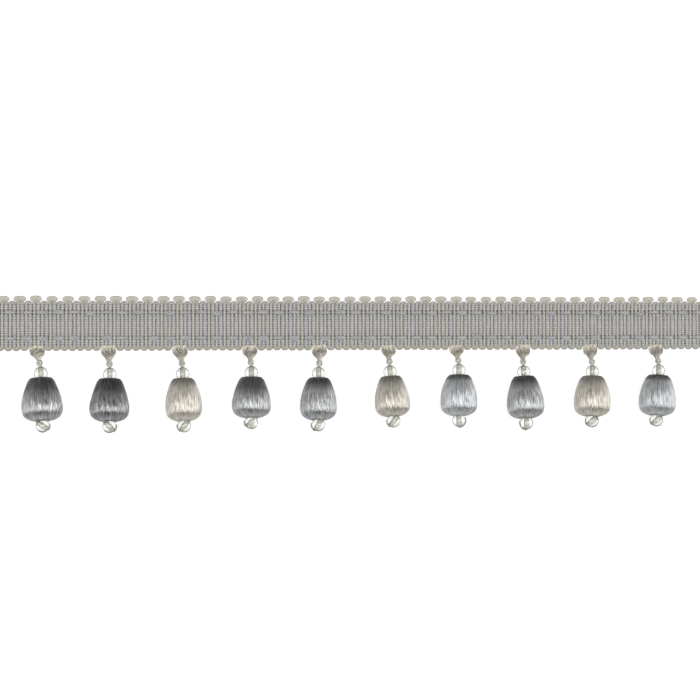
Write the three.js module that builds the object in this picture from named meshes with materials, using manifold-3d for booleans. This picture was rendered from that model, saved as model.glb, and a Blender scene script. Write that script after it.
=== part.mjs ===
// Beaded fringe trim: a looped braid heading with satin-wound pear drops hung on beaded cords.
// It lies flat on its back, in millimetres: +X along the heading, +Y towards the picots, +Z up.
// The origin is the middle of the heading's flat back, and everything rests at z = 0.

import * as THREE from "three";
import { mergeVertices } from "three/addons/utils/BufferGeometryUtils.js";
import Module from "manifold-3d";

// Heading: one weft cord runs up and down, and each repeat holds four of its runs
const PITCH = 7; // one picot to the next
const REPEATS = 47; // a cut length of 329 mm
const FIRST_EDGE = -0.75; // where the cut falls before the first picot, in repeats
const LENGTH = PITCH * REPEATS;
const BARE = { places: [-0.62, -0.12], halfWidth: 0.6, height: 1.25 }; // weft runs that show
const COVERED = { places: [-0.37, 0.13], height: 1.9 }; // weft runs under warps
const CUT_HEIGHT = 1.4;
const LOOP_HEIGHT = 1.35; // front of the picots, humps and scallops
const WEAVE_TOP = 9;
const WEAVE_BOTTOM = -9.9;

// Binder bands: floats over three runs, dipping under the run below each picot
const BAND_Y = 5.7;
const BAND_HALF = 0.9;
const BAND_CREST = [
  { place: -0.45, height: 2.35 },
  { place: -0.12, height: 1.3 },
  { place: 0.21, height: 2.35 },
];

// Outline of the loops in one repeat, x from the picot's middle
const PICOT = [
  [-1.5, 10.4],
  [-2.55, 11.4],
  [-1.4, 12.9],
  [1.5, 12.9],
  [2.55, 11.3],
  [1.5, 10.3],
];
const HUMP_PLACE = -0.495;
const HUMP = [
  [-1, 10.3],
  [1, 10.3],
];
const NOTCH_TOP = 9.3; // between a picot and a hump
const SCALLOP_PLACES = [-0.745, -0.245];
const SCALLOP = [
  [-0.8, -11.1],
  [0.8, -11.1],
];
const NOTCH_BOTTOM = -10.15;

// Hangers
const HANGER_FIRST = 2; // repeats from the first picot to the first tuft
const HANGER_EVERY = 4.5; // repeats between tufts
const BEAD_RADIUS = 3.03; // the upper and stopper beads
const SEED = { radius: 1.5, squash: 0.9 };
const BORE_RADIUS = 0.88;
const THREAD_RADIUS = 0.55;
const RETURN_RADIUS = 0.32; // the thread that comes back round the stopper bead
const RETURN_TURN = 112; // how far round it comes, in degrees
const GAP = 0.3; // between neighbours
const SEAT = 1.9; // a bead's middle from the end of the drop that it sits in
const DIMPLE = { rim: 2.7, lip: 3.35, depth: 1.85, chamfer: 0.15 };
const TUFT = { top: -10.25, height: 0.95, halfWidth: 3.4 };
const SEED_RUN = { back: 2.4, drop: 2.1 }; // the tuft's tip from the upper bead's mouth

// One row for each hanger, left to right. knot and sway: how far the tuft and the upper bead lie to
// the right of their even places; reach: the upper bead from the heading's middle; lean: the drop's
// turn on the table; tilt: how far its narrow end dips; side: where the thread comes back.
const COLUMNS = ["knot", "sway", "reach", "lean", "tilt", "width", "length", "side", "yarn"];
const HANGERS = [
  [0.4, 2.1, 21.4, 2.0, 6, 17.9, 19.2, 1, "grey"],
  [0.0, 0.6, 22.0, -0.9, 7, 17.5, 19.1, 1, "grey"],
  [0.5, 1.1, 21.9, 1.4, 5, 16.1, 19.2, -1, "champagne"],
  [-0.2, 0.1, 21.5, -0.6, 5, 17.3, 18.4, -1, "grey"],
  [0.4, -1.1, 22.0, -1.3, 6, 16.5, 19.2, -1, "grey"],
  [0.0, -0.1, 21.4, 3.3, 5, 15.9, 18.4, -1, "champagne"],
  [-0.3, -0.1, 20.9, -1.0, 4, 16.7, 18.8, 1, "grey"],
  [-0.9, -1.4, 21.7, 1.7, 6, 17.0, 19.5, 1, "grey"],
  [-0.3, -0.7, 21.8, -1.8, 5, 16.8, 18.7, -1, "champagne"],
  [-0.7, -0.8, 21.5, -4.0, 4, 16.9, 18.9, -1, "grey"],
].map((row) => Object.fromEntries(COLUMNS.map((name, i) => [name, row[i]])));

const material = (color, roughness) => new THREE.MeshStandardMaterial({ color, roughness, metalness: 0 });
const COLOURS = {
  heading: () => material(0xa9a49d, 0.85),
  cord: () => material(0xbdb49f, 0.8),
  glass: () => material(0xe6ebe4, 0.05),
  grey: () => material(0x85868b, 0.35),
  champagne: () => material(0xa89d8f, 0.35),
};

const wasm = await Module();
wasm.setup();

function solidOf(geometry) {
  const bare = geometry.clone();
  bare.deleteAttribute("normal");
  bare.deleteAttribute("uv");
  const merged = mergeVertices(bare, 1e-4);
  return new wasm.Manifold(
    new wasm.Mesh({
      numProp: 3,
      vertProperties: merged.attributes.position.array,
      triVerts: new Uint32Array(merged.index.array),
    }),
  );
}

function geometryOf(solid) {
  const mesh = solid.getMesh();
  return new THREE.BufferGeometry()
    .setAttribute("position", new THREE.BufferAttribute(mesh.vertProperties, 3))
    .setIndex(new THREE.BufferAttribute(mesh.triVerts, 1));
}

function indexed(points, faces) {
  return new THREE.BufferGeometry()
    .setAttribute("position", new THREE.Float32BufferAttribute(points.flat(), 3))
    .setIndex(faces.flat());
}

// The heading

const picotX = (repeat) => (repeat - REPEATS / 2 - FIRST_EDGE) * PITCH;
const hangerX = (index) => picotX(HANGER_FIRST + index * HANGER_EVERY);

// Ribs in the heading's face: a crest on each covered run, and a flat on each bare one
function ribRow(y) {
  const row = [[-LENGTH / 2, y, CUT_HEIGHT]];
  for (let repeat = 0; repeat < REPEATS; repeat++) {
    BARE.places.forEach((place, i) => {
      const x = picotX(repeat) + place * PITCH;
      row.push([x - BARE.halfWidth, y, BARE.height]);
      row.push([x + BARE.halfWidth, y, BARE.height]);
      row.push([picotX(repeat) + COVERED.places[i] * PITCH, y, COVERED.height]);
    });
  }
  row.push([LENGTH / 2, y, CUT_HEIGHT]);
  return row;
}

function bandRow(y) {
  const row = [[-LENGTH / 2, y, BAND_CREST[0].height]];
  for (let repeat = 0; repeat < REPEATS; repeat++)
    for (const { place, height } of BAND_CREST) row.push([picotX(repeat) + place * PITCH, y, height]);
  row.push([LENGTH / 2, y, BAND_CREST[0].height]);
  return row;
}

// The loops along the top, left to right
function topEdge() {
  const edge = [];
  for (let repeat = 0; repeat < REPEATS; repeat++) {
    const x = picotX(repeat);
    const hump = x + HUMP_PLACE * PITCH;
    const notch = (HUMP_PLACE * PITCH) / 2;
    edge.push([x - PITCH / 2 + notch, NOTCH_TOP, LOOP_HEIGHT]);
    for (const [dx, y] of HUMP) edge.push([hump + dx, y, LOOP_HEIGHT]);
    edge.push([x + notch, NOTCH_TOP, LOOP_HEIGHT]);
    for (const [dx, y] of PICOT) edge.push([x + dx, y, LOOP_HEIGHT]);
  }
  return edge.slice(1).map(([x, y, z]) => [Math.min(x, LENGTH / 2), y, z]);
}

// The scallops along the bottom, left to right, with each tuft in place of two of them
function bottomEdge() {
  const edge = [];
  const tufts = HANGERS.map((row, index) => hangerX(index));
  for (let repeat = 0; repeat < REPEATS; repeat++)
    for (const place of SCALLOP_PLACES) {
      const x = picotX(repeat) + place * PITCH;
      if (tufts.some((tuft) => Math.abs(tuft - x) < PITCH / 2)) continue;
      edge.push([x - PITCH / 4, NOTCH_BOTTOM, LOOP_HEIGHT]);
      for (const [dx, y] of SCALLOP) edge.push([x + dx, y, LOOP_HEIGHT]);
      const next = x + PITCH / 2;
      if (tufts.some((tuft) => Math.abs(tuft - next) < PITCH / 2))
        edge.push([x + PITCH / 4, NOTCH_BOTTOM + 0.1, LOOP_HEIGHT]);
    }
  return edge.filter(([x]) => x > -LENGTH / 2 + 0.2 && x < LENGTH / 2 - 0.2);
}

function headingGeometry() {
  const points = [];
  const faces = [];
  const add = (row) => row.map((point) => points.push(point) - 1);

  // Faces between two rows that both run from left to right
  const stitch = (low, high) => {
    let a = 0;
    let b = 0;
    while (a < low.length - 1 || b < high.length - 1) {
      const nextLow = a < low.length - 1 ? points[low[a + 1]][0] : Infinity;
      const nextHigh = b < high.length - 1 ? points[high[b + 1]][0] : Infinity;
      if (nextLow <= nextHigh) faces.push([low[a], low[++a], high[b]]);
      else faces.push([low[a], high[b + 1], high[b++]]);
    }
  };
  const fill = (loop, frontUp) => {
    const flat = loop.map((i) => new THREE.Vector2(points[i][0], points[i][1]));
    for (const [a, b, c] of THREE.ShapeUtils.triangulateShape(flat, []))
      faces.push(frontUp ? [loop[a], loop[b], loop[c]] : [loop[a], loop[c], loop[b]]);
  };

  const band = (y) => [add(ribRow(y - BAND_HALF)), add(bandRow(y)), add(ribRow(y + BAND_HALF))];
  const rows = [add(ribRow(WEAVE_BOTTOM)), ...band(-BAND_Y), ...band(BAND_Y), add(ribRow(WEAVE_TOP))];
  for (let i = 1; i < rows.length; i++) stitch(rows[i - 1], rows[i]);

  const top = add(topEdge());
  const bottom = add(bottomEdge());
  const first = rows[0];
  const last = rows[rows.length - 1];
  fill([...last, ...top.toReversed()], true);
  fill([...bottom, ...first.toReversed()], true);

  // The flat back and the walls round the outline, anticlockwise seen from the front
  const rightSide = rows.map((row) => row[row.length - 1]);
  const leftSide = rows.map((row) => row[0]).toReversed();
  const outline = [...bottom, ...rightSide, ...top.toReversed(), ...leftSide];
  const back = outline.map((i) => points.push([points[i][0], points[i][1], 0]) - 1);
  fill(back, false);
  outline.forEach((a, i) => {
    const next = (i + 1) % outline.length;
    faces.push([back[i], back[next], outline[next]], [back[i], outline[next], a]);
  });
  return indexed(points, faces);
}

// Beads and drops, turned about +Y

function beadGeometry(radius, squash, sides, arcs) {
  const start = Math.asin(BORE_RADIUS / radius);
  const profile = [];
  for (let i = 0; i <= arcs; i++) {
    const angle = start + ((Math.PI - 2 * start) * i) / arcs;
    profile.push(new THREE.Vector2(radius * Math.sin(angle), -radius * squash * Math.cos(angle)));
  }
  profile.push(profile[0].clone());
  return new THREE.LatheGeometry(profile, sides);
}

// Half-width of a drop as a share of its widest, at a share t of its length from the narrow end
const WIDEST = 0.65;
const PEAR_STEPS = [0.03, 0.2, 0.42, 0.64, 0.8, 0.91, 0.972];
function pear(t) {
  if (t < WIDEST) return 1 - 0.43 * ((WIDEST - t) / WIDEST) ** 1.6;
  return Math.sqrt(1 - ((t - WIDEST) / 0.36) ** 2.5);
}

// From the wide end up to the narrow end, which lies at y = 0, with a dimple for a bead in each
function dropProfile({ width, length }) {
  const side = PEAR_STEPS.map((t) => [(width / 2) * pear(t), -t * length]);
  const points = [
    [BORE_RADIUS, DIMPLE.depth - length],
    [DIMPLE.rim, DIMPLE.chamfer - length],
    [DIMPLE.lip, -length],
    ...side.toReversed(),
    [DIMPLE.lip + 0.4, 0],
    [DIMPLE.rim, -DIMPLE.chamfer],
    [BORE_RADIUS, -DIMPLE.depth],
  ];
  return points.map(([x, y]) => new THREE.Vector2(x, y));
}

function dropGeometry(row) {
  const profile = dropProfile(row);
  return new THREE.LatheGeometry([...profile, profile[0].clone()], 14);
}

// Hanger cords

// A round cord through the points of a path that lies in the plane across from aside
function cordGeometry(path, radius, sides, aside) {
  const points = [];
  const faces = [];
  path.forEach((middle, row) => {
    const before = path[Math.max(row - 1, 0)];
    const after = path[Math.min(row + 1, path.length - 1)];
    const forward = after.clone().sub(before).normalize();
    const up = new THREE.Vector3().crossVectors(aside, forward).normalize();
    const out = new THREE.Vector3().crossVectors(forward, up);
    for (let i = 0; i < sides; i++) {
      const angle = (2 * Math.PI * i) / sides;
      const rim = middle.clone().addScaledVector(out, radius * Math.cos(angle));
      points.push(rim.addScaledVector(up, radius * Math.sin(angle)).toArray());
    }
  });
  joinRings(faces, path.length, sides);
  return indexed(points, faces);
}

// Faces round and between rings of points, with both ends closed
function joinRings(faces, rows, count) {
  const at = (row, i) => row * count + (i % count);
  for (let row = 1; row < rows; row++)
    for (let i = 0; i < count; i++) {
      faces.push([at(row - 1, i), at(row, i), at(row, i + 1)]);
      faces.push([at(row - 1, i), at(row, i + 1), at(row - 1, i + 1)]);
    }
  for (let i = 1; i < count - 1; i++) {
    faces.push([at(0, 0), at(0, i), at(0, i + 1)]);
    faces.push([at(rows - 1, 0), at(rows - 1, i + 1), at(rows - 1, i)]);
  }
}

// The gathered tuft: strands raised in its front, drawn in from the heading to the tip
const TUFT_ROWS = [
  { along: 0, spread: 0.88, thickness: 1.9 },
  { along: 0.25, spread: 1, thickness: 2.6 },
  { along: 0.62, spread: 0.7, thickness: 2.6 },
  { along: 1, spread: 0.24, thickness: 1.4 },
];
const TUFT_STRANDS = 5;
const BETWEEN_STRANDS = 0.78; // height of the furrow between two strands

function tuftGeometry(root, tip) {
  const points = [];
  const faces = [];
  for (const { along, spread, thickness } of TUFT_ROWS) {
    const middle = root.clone().lerp(tip, along);
    middle.z = THREE.MathUtils.lerp(root.z, tip.z, along ** 1.5);
    const half = TUFT.halfWidth * spread;
    const floor = Math.max(0, middle.z - thickness / 2);
    for (let i = 0; i <= 2 * TUFT_STRANDS; i++) {
      const across = i / TUFT_STRANDS - 1;
      const ridge = i % 2 ? 1 : BETWEEN_STRANDS;
      const dome = Math.sqrt(1 - 0.75 * across ** 2);
      points.push([middle.x + across * half, middle.y, floor + thickness * ridge * dome]);
    }
    points.push([middle.x + half * 0.75, middle.y, floor], [middle.x - half * 0.75, middle.y, floor]);
  }
  joinRings(faces, TUFT_ROWS.length, 2 * TUFT_STRANDS + 3);
  return indexed(points, faces);
}

// The thread comes back round one side of the stopper bead and is tucked up against the drop
function returnPath(stopper, down, across) {
  const radius = BEAD_RADIUS + GAP + RETURN_RADIUS;
  const steps = 6;
  return Array.from({ length: steps + 1 }, (_, i) => {
    const angle = THREE.MathUtils.degToRad((RETURN_TURN * i) / steps);
    const point = stopper.clone().addScaledVector(down, radius * Math.cos(angle));
    return point.addScaledVector(across, radius * Math.sin(angle));
  });
}

// One hanger: the tuft at the heading, then seed bead, upper bead, drop and stopper bead
function hanger(row, index) {
  const group = new THREE.Group();
  const x = hangerX(index);
  const tilt = THREE.MathUtils.degToRad(row.tilt);
  const lean = THREE.MathUtils.degToRad(row.lean);

  // The drop's narrow end dips by the tilt, and its lowest point lies at z = 0
  const turn = new THREE.Quaternion().setFromEuler(new THREE.Euler(-tilt, 0, lean, "ZXY"));
  const down = new THREE.Vector3(0, -1, 0).applyQuaternion(turn);
  const across = new THREE.Vector3(1, 0, 0).applyQuaternion(turn);
  const front = new THREE.Vector3(0, 0, 1).applyQuaternion(turn);
  const rise = Math.max(
    ...dropProfile(row).map(({ x: r, y }) => (y - SEAT) * Math.sin(tilt) + r * Math.cos(tilt)),
  );
  const upper = new THREE.Vector3(x + row.sway, -row.reach, rise);
  const onAxis = (distance) => upper.clone().addScaledVector(down, distance);
  const mouth = onAxis(-BEAD_RADIUS - GAP);
  const stopper = onAxis(2 * SEAT + row.length);

  const root = new THREE.Vector3(x + row.knot, TUFT.top, TUFT.height);
  const tip = new THREE.Vector3(0, mouth.y + SEED_RUN.back, mouth.z - SEED_RUN.drop);
  tip.x = THREE.MathUtils.lerp(root.x, mouth.x, 0.45);
  const seed = tip.clone().lerp(mouth, 0.5);
  const seedAxis = mouth.clone().sub(tip).normalize();
  const half = SEED.radius * SEED.squash;
  const thread = [
    tip.clone().lerp(root, 0.2),
    seed.clone().addScaledVector(seedAxis, -half),
    seed.clone().addScaledVector(seedAxis, half),
    mouth,
    onAxis(2 * SEAT + row.length + BEAD_RADIUS + GAP + RETURN_RADIUS),
  ];
  const turnBack = returnPath(stopper, down, across.clone().multiplyScalar(row.side));
  const cord = solidOf(tuftGeometry(root, tip))
    .add(solidOf(cordGeometry(thread, THREAD_RADIUS, 6, across)))
    .add(solidOf(cordGeometry(turnBack, RETURN_RADIUS, 5, front)));

  const place = (piece, finish, geometry, position, direction) => {
    const mesh = new THREE.Mesh(geometry, COLOURS[finish]());
    mesh.name = `${piece}_${index + 1}`;
    mesh.position.copy(position);
    if (direction) mesh.quaternion.setFromUnitVectors(new THREE.Vector3(0, -1, 0), direction);
    group.add(mesh);
    return mesh;
  };
  const round = () => beadGeometry(BEAD_RADIUS, 1, 10, 4);
  place("hanger_cord", "cord", geometryOf(cord), new THREE.Vector3());
  place("seed_bead", "glass", beadGeometry(SEED.radius, SEED.squash, 8, 3), seed, seedAxis);
  place("upper_bead", "glass", round(), upper, down);
  place("drop", row.yarn, dropGeometry(row), onAxis(SEAT)).quaternion.copy(turn);
  place("stopper_bead", "glass", round(), stopper, down);
  return group;
}

const trim = new THREE.Group();
const heading = new THREE.Mesh(headingGeometry(), COLOURS.heading());
heading.name = "heading";
trim.add(heading, ...HANGERS.map(hanger));

export default trim;
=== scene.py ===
# Beaded fringe trim: a looped woven braid heading with satin-wound pear drops hung on beaded cords.
# It lies flat on its back on a pale floor, seen from above, as in the frame: +X along the heading,
# +Y towards the picots, +Z up. Sizes are in millimetres, and a mesh is scaled to metres when made.
import math
import random

import bpy
from mathutils import Matrix, Vector


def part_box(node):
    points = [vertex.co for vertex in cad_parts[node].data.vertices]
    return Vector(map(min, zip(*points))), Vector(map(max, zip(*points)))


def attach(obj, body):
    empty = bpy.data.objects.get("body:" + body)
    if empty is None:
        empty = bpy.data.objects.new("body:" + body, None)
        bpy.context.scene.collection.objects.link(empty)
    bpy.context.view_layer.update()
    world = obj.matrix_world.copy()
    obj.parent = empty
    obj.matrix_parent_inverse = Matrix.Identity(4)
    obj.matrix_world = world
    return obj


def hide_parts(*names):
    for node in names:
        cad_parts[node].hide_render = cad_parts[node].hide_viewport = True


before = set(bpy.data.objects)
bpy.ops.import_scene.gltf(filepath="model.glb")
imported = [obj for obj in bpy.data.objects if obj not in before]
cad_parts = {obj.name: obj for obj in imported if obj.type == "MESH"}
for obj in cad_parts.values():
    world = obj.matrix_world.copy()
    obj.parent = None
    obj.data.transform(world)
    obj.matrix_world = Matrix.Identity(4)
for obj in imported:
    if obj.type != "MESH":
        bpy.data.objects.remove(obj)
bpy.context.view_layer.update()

MM = 0.001
UP = Vector((0, 0, 1))
scene = bpy.context.scene

# Camera: above the trim and a little to its left, with the lens that gives the photograph's frame
LOOKS_AT = Vector((-5.3, -11.5, 1.0))
DISTANCE = 800
FROM_LEFT = math.radians(8.2)
ROLL = math.radians(0.15)
LENS = 90.84
SENSOR = 36

# Heading: one weft cord runs up and down, and each repeat holds four of its runs
PITCH = 7.0
REPEATS = 47
HALF_LENGTH = PITCH * REPEATS / 2
FIRST_EDGE = -0.75  # where the cut falls before the first picot, in repeats
BARE = {"places": (-0.62, -0.12), "middle": 0.8}  # weft runs that show, in repeats from the picot
COVERED = {"places": (-0.37, 0.13), "middle": 1.0}  # weft runs under the warps
PRESSED = {"covered": 0.1, "tied": 0.28}  # how far a band presses a run down
LOWER_BAND, UPPER_BAND = -5.95, 5.45
RUN_STOPS = (-9.4, -7.5, LOWER_BAND, -4.2, 0.0, 3.8, UPPER_BAND, 7.5, 9.1)  # heights up a run
WARP_UNDER, WARP_SHOULDER, WARP_CREST = (0.3, 0.75), (1.45, 0.95), (1.68, 1.04)  # height and girth
WARP_REACH = {"under": 0.4, "shoulder": 0.58}  # how far these lie from the middle of a run
WARP_ROWS = {"below": (-9.35, 3), "between": (-4.4, 9), "above": (7.2, 3)}  # first row, and how many
WARP_STEP = 1.05
GROUND = {"middle": 0.14, "yarns": 19}  # they close the gaps at the back
YARNS = {  # width, thickness, sides, steps between two points of a path, how uneven, and seed
    "weft": (1.25, 0.92, 8, 2, 0.05, 1),
    "warp": (0.94, 0.38, 6, 2, 0.05, 2),
    "ground": (1.12, 0.24, 4, 1, 0.03, 5),
    "binder": (0.46, 0.36, 5, 2, 0.04, 3),
    "tie": (1.1, 0.3, 6, 2, 0.03, 4),
}
STRAY = {  # how far the yarns stray from an even path, as a standard deviation
    "run": 0.035, "turn": 0.05, "warp": 0.02, "ground": 0.03, "strand": 0.04, "float": 0.05,
}

# Half of a picot: the cord's middle line across and up from the picot's middle, and its girth
PICOT_HALF = (
    (0.84, 9.5, 1.05), (0.8, 10.2, 1.15), (0.78, 10.6, 1.15), (1.05, 10.95, 1.2), (1.6, 11.1, 1.2),
    (2.05, 11.5, 1.1), (1.75, 11.9, 1.2), (0.9, 11.95, 1.45),
)
PICOT_TOP = (0.0, 11.85, 1.6)
PICOT_BASE = 10.2  # where its legs end, and it begins to differ from its neighbours
PICOT_NECK = 0.6  # how far above the base its width begins to differ
PICOT_VARIES = {"size": (0.88, 1.05), "lean": 0.12}
TURN = {"half_width": PITCH / 8, "steps": 7, "fullness": 0.65}
HUMP = {"middle": 9.45, "height": 0.5, "girth": 1.1}
SCALLOP = {"middle": -9.8, "height": 0.9, "girth": 1.52}
HIDDEN_SCALLOP = {"middle": -9.6, "height": 0.4, "girth": 1.0}  # behind a tuft
PICOT_INSET = 0.5  # how far from the cut the last picot's middle line stays

# The two bands are drawn tighter towards the right end, where they open small holes
HOLE = 0.5  # how wide a hole a fully tight band opens, left of the run below each picot
TIGHT_HALFWAY = 0.35  # how tight they are drawn halfway along, where 1 is the right end

# Binder: strands that fan out over three runs and dive together under the run below each picot
BINDER = {"strands": 6, "gathered": 0.2, "sag": 0.12}
BINDER_BANDS = {  # how far each band's floats fan out, least and most, and how far they stray
    LOWER_BAND: (0.45, 1.1, 0.1), UPPER_BAND: (0.4, 0.95, 0.2),
}
BINDER_PATH = (  # x from the picot, height, how far fanned out, and whether a hole opens there
    (-0.84, 0.22, 0.0, 0), (-0.25, 0.35, 0.0, 0), (0.05, 1.0, 0.05, 0), (0.4, 1.8, 0.15, 0),
    (1.3, 2.1, 0.62, 0), (2.66, 2.16, 1.0, 0), (4.0, 2.1, 0.62, 0), (4.95, 1.8, 0.15, 1),
    (5.27, 1.0, 0.05, 1), (5.6, 0.35, 0.0, 1),
)

# Tie: a yarn that shows only where it crosses the run below each picot
TIE_HALF = ((0.0, 1.38), (0.46, 1.2), (0.78, 0.7), (1.06, 0.3))  # x from the run, and height
TIE_STEEPER = 0.5  # how much shorter its slope is beside the widest holes

# Hangers: the first one's place in repeats from the first picot, and how many repeats apart
HANGER_FIRST = 2
HANGER_EVERY = 4.5
ROUND_BEAD = {"radius": 3.03, "squash": 1, "arcs": 16, "sides": 40}
SEED_BEAD = {"radius": 1.5, "squash": 0.9, "arcs": 10, "sides": 24}
BEADS = {"seed": SEED_BEAD, "upper": ROUND_BEAD, "stopper": ROUND_BEAD}
BEAD_RADIUS = ROUND_BEAD["radius"]
BORE_RADIUS = 0.76  # it closes round the thread, so it is narrower than the solid's
BORE_FILL = 0.8  # the thread presses a little into the bore's wall, so no air shows between them
MOUTH = {"wall": 0.8, "opening": 1.06}  # where the wall ends, and how much wider the ground edge is
SEAT = 1.9  # a bead's middle from the end of the drop that it sits in
GAP = 0.3

# Thread: it starts hidden in the tuft, and goes down the drop's bore by these distances. Its girth
# also sets its colour: painted light in the bores, painted shade where it comes back thin round the bead
THREAD = {"plies": 3, "ply_radius": 0.3, "lay": 2.4, "step": 0.4, "sides": 6}
THREAD_HIDDEN = 1.2
THREAD_IN_DROP = (3.5, 8, 14, 19)
# the girth in the bores, which also paints the thread light there
LIT_BORE_GIRTH = 1.4
BORE_REACH = 0.97  # how far towards the bore's mouths it has its painted light
TURNED_BORE = 0.3  # sine of the angle past which the thread goes round the stopper bead's shoulder
CLEARS = {"drop": 0.25, "shoulder": 0.1}  # how far it stays off, on its way to the stopper bead
IN_MOUTH = {"upper": 0.1, "lower": 0.2}  # how deep in the stopper bead its bends lie
RETURN = {"girth": 0.35, "lift": 0.23, "end": 112, "step": 12}  # end and step in degrees

# Tuft: its cords leave the heading side by side and draw together into the thread. top and height
# place its root, reach is how far its cords lie to both sides, and climb how late it rises
TUFT = {"top": -10.25, "height": 0.95, "reach": 2.9, "climb": 1.5}
TUFT_CORD = {"plies": 2, "ply_radius": 0.28, "lay": 1.9, "step": 0.3, "sides": 5}
TUFT_SHAPE = (  # share of the way to the tip, half-width share, half-thickness, cord girth
    (-0.14, 0.88, 0.5, 1.0), (0.04, 0.98, 0.8, 1.0), (0.2, 1.03, 1.1, 1.0), (0.38, 1.0, 1.2, 1.0),
    (0.53, 0.84, 1.1, 1.0), (0.66, 0.56, 0.85, 0.95), (0.8, 0.33, 0.6, 0.85), (1.0, 0.24, 0.4, 0.75),
)
TUFT_RINGS = ((13, 1.0), (7, 0.6), (3, 0.2))  # how many cords, and how far out they lie
TUFT_SWAY = {"place": 0.2, "turn": 0.22, "length": 0.25}
TUFT_TONES = {"darkest": 0.5, "lightest": 1.1, "tan": 0.5}
PLY_WIDTH = 2.2  # a ply's width in a cord, as a multiple of how far it winds from the cord's middle

# Drop: half-widths as shares of the widest, and places along it as shares of its length
WIDEST = 0.65
NECK = 0.57
FOOT = {"reach": 0.36, "squareness": 3.5}  # its curve from the widest place to the wide end
SIDE_STEPS = (0.08, 0.18, 0.31, 0.44, 0.55, 0.64, 0.72, 0.79, 0.85, 0.9, 0.945, 0.975)
DIMPLE = ((0.95, 1.8), (2.2, 0.6))  # radius and depth, from the bore outwards, at both ends
NECK_RIM = ((1.4, 0), (0.5, 0.14), (0, 0.6))  # how far in from the neck's side, and depth
FOOT_RIM = (3.2, 0.995)  # radius, and share of the length
WINDING = {"width": 0.5, "thickness": 0.12, "wander": 0.05, "lumps": 0.35}  # wander in radians
WINDING_TONES = {"darkest": 0.65, "lightest": 0.95, "shade": 0.4}

# One row for each hanger, left to right. shade: how dark the winding's colour is painted, the more the
# darker, as painted shade and painted light for how the drop lies to the lamps; belly: how soon the drop
# swells, the more the sooner; bore: the stopper bead's bore from straight down towards +X, in degrees;
# raised: how far its upper mouth is raised, in degrees; tuft: the seed of the tuft's cords; turn: how far
# they twist together, in degrees; brown: how tanned the tuft is, from 0 to 1
LOOKS_COLUMNS = ("yarn", "shade", "belly", "bore", "raised", "tuft", "turn", "brown")
LOOKS = [
    ("deep_grey", 0.65, 1.6, 56, 0, 3, 150, 0.6),
    ("deep_grey", 1.1, 1.4, 44, 0, 5, 40, 0.5),
    ("champagne", 0.35, 2.0, -42, 0, 8, -30, 0.5),
    ("deep_grey", 0.5, 1.6, -20, 62, 13, 50, 0.45),
    ("mid_grey", 0.5, 1.8, -30, 0, 21, 110, 0.3),
    ("champagne", 0.6, 1.7, -42, 0, 34, -60, 0.45),
    ("pale_grey", 0.4, 2.1, 4, 0, 55, 30, 0.5),
    ("mid_grey", 0.5, 1.7, -4, 0, 89, -45, 0.4),
    ("champagne", 0.45, 2.0, -50, 0, 144, 60, 0.5),
    ("pale_grey", 0.55, 2.0, -47, 0, 233, 25, 0.65),
]
LOOKS = [dict(zip(LOOKS_COLUMNS, row)) for row in LOOKS]

# Lights: soft boxes, each with its place, what it faces, its size across and deep, and its watts
LIGHTS = (
    ("key", (-150, 30, 1150), (-137, -20, 0), (3400, 560), 27),
    ("front_fill", (0, -1300, 700), (0, 0, 0), (2600, 1300), 7.5),
    ("left_board", (-1300, 300, 300), (0, 0, 0), (1800, 500), 5),
    ("right_board", (1300, 300, 300), (0, 0, 0), (1800, 500), 8),
    ("back_fill", (0, 720, 1150), (0, 0, 0), (1600, 500), 0.5),
)


# Small tools

def linear(hex_colour):
    """An sRGB hex colour as linear RGBA."""
    channels = [int(hex_colour[i:i + 2], 16) / 255 for i in (1, 3, 5)]
    return (*[c / 12.92 if c <= 0.04045 else ((c + 0.055) / 1.055) ** 2.4 for c in channels], 1)


def node(tree, kind, inputs=None, **settings):
    """Adds a node. An input goes by its number, or by its name among those in use. It takes a value,
    a socket, or another node for its first output in use."""
    made = tree.nodes.new(kind)
    for name, value in settings.items():
        setattr(made, name, value)
    for key, value in (inputs or {}).items():
        if isinstance(key, int):
            socket = made.inputs[key]
        else:
            socket = next(s for s in made.inputs if s.name == key and s.enabled)
        if isinstance(value, bpy.types.Node):
            value = next(s for s in value.outputs if s.enabled)
        if isinstance(value, bpy.types.NodeSocket):
            tree.links.new(value, socket)
        else:
            socket.default_value = value
    return made


def mix(a, b, share):
    return a + (b - a) * share


def new_object(name, data):
    """An object with this data, in the scene."""
    piece = bpy.data.objects.new(name, data)
    scene.collection.objects.link(piece)
    return piece


# Camera

def make_camera():
    back = Vector((-math.sin(FROM_LEFT), 0, math.cos(FROM_LEFT)))
    top = Vector((0, 1, 0))
    right = top.cross(back)
    turned_right = right * math.cos(ROLL) - top * math.sin(ROLL)
    turned_top = top * math.cos(ROLL) + right * math.sin(ROLL)
    camera = new_object("camera", bpy.data.cameras.new("camera"))
    camera.data.lens = LENS
    camera.data.sensor_width = SENSOR
    axes = Matrix((turned_right, turned_top, back)).transposed().to_4x4()
    camera.matrix_world = Matrix.Translation((LOOKS_AT + back * DISTANCE) * MM) @ axes
    scene.camera = camera


make_camera()


# Materials

STRAND_UV = "strand_uv"  # u once round a yarn from underneath, v along it in millimetres
NOISE = (0.35, 0.65)  # a noise pattern's values lie mostly between these
NOISE_MIDDLE = 0.5
TOP_U = 0.5  # u at a yarn's top
RIDGE_WAVE = 0.64  # the scale of a wave pattern that has about one ridge in each unit
FLANK = (0.1, 0.28)  # where a yarn turns down, from its top, in turns round it, and its painted shade begins and is full
TAPE_HALF = 15  # half the width that across_tape spans
SHADED_LOOPS = (  # height in the heading, and how much of the weft's colour is left: painted shade where the cord turns
    (-11.5, 0.7), (-10.3, 0.8), (-9.6, 1.0), (9.2, 1.0), (9.7, 0.78), (10.3, 0.78), (10.8, 1.0),
    (12.2, 1.0), (12.9, 0.85),
)

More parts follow.
